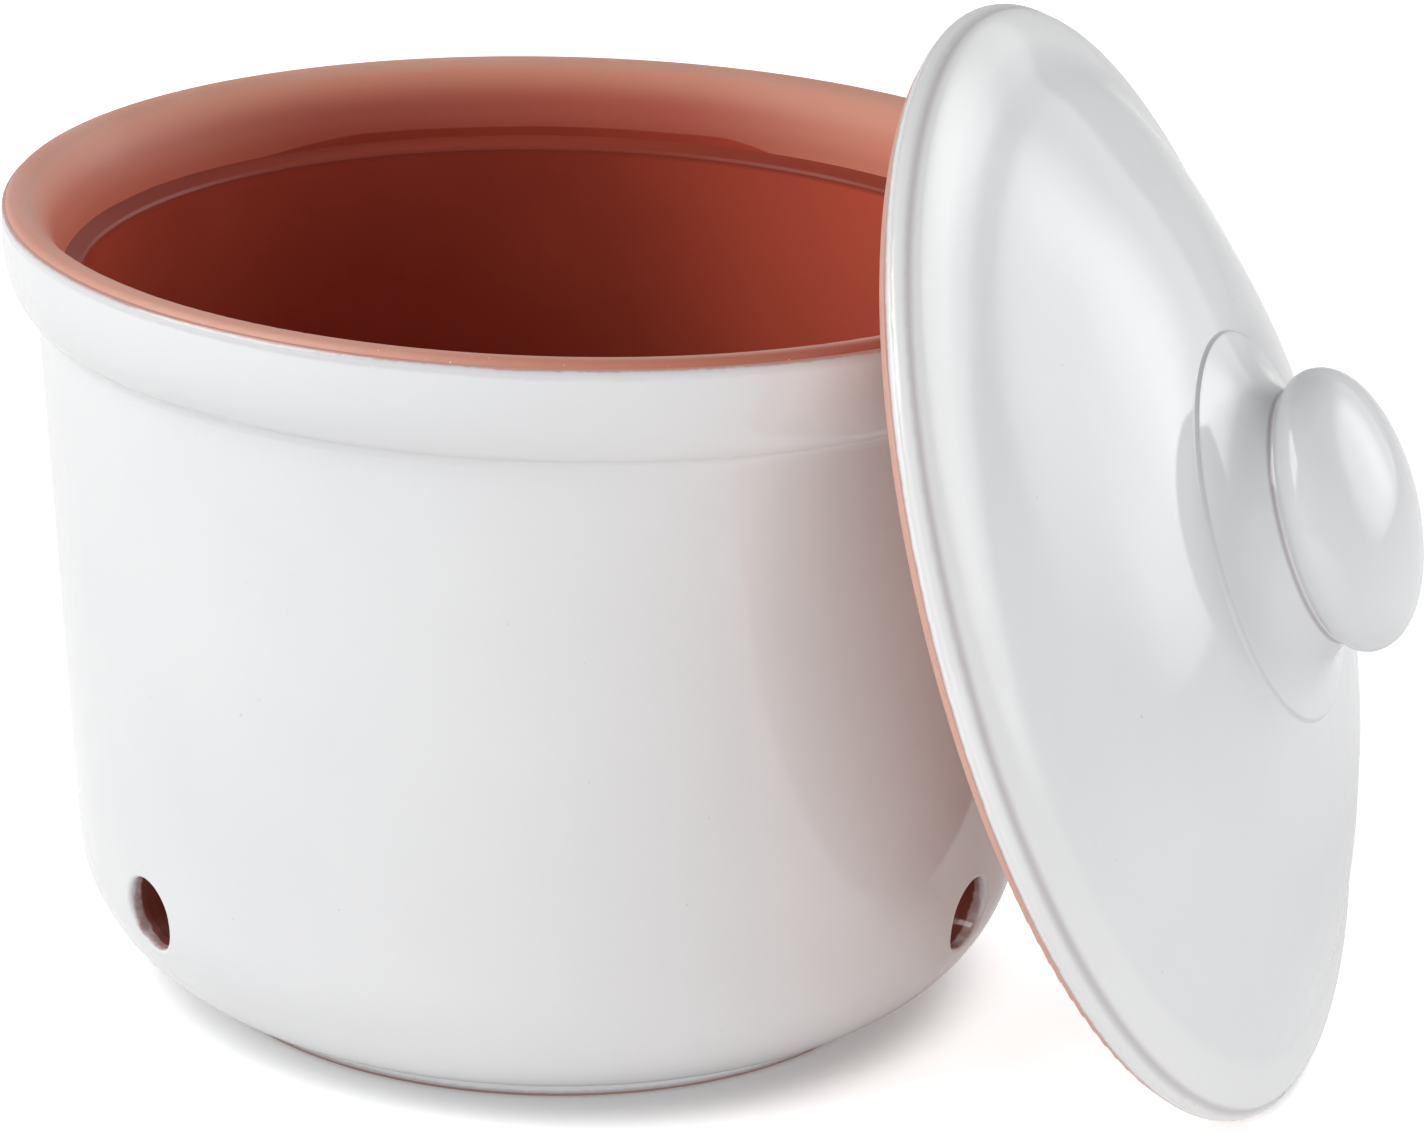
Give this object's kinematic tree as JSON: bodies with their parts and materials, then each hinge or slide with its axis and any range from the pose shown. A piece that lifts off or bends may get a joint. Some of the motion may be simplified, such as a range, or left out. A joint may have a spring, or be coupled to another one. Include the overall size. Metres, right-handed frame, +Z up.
{
  "type": "clay storage pot",
  "caption": "Round glazed clay storage pot with a rolled collar, low vent holes and a domed, knobbed lid taken off and leaning against its side.",
  "frame": {"origin": "the pot's own axis, on the floor it stands on", "axes": "+Z up the pot's axis; -Y towards the viewer of the picture; the lid leans against the +X side, turned 22.9 degrees towards -Y"},
  "size_m": [0.2575, 0.2424, 0.1914],
  "materials": {
    "terracotta": "bare fired clay, matt",
    "white_glaze": "gloss white glaze",
    "clear_glaze": "clear gloss glaze over red clay"
  },
  "bodies": {
    "pot": {"pot_clay": "terracotta", "pot_glaze": "white_glaze", "pot_clear_glaze": "clear_glaze"},
    "lid": {"lid_disc": "terracotta", "lid_knob": "terracotta", "lid_glaze": "white_glaze"}
  },
  "joints": [
    {"name": "lid_pull", "type": "slide", "parent": "pot", "child": "lid", "axis": [0.8598, -0.3632, 0.359], "range_m": [0, 0.15]}
  ]
}
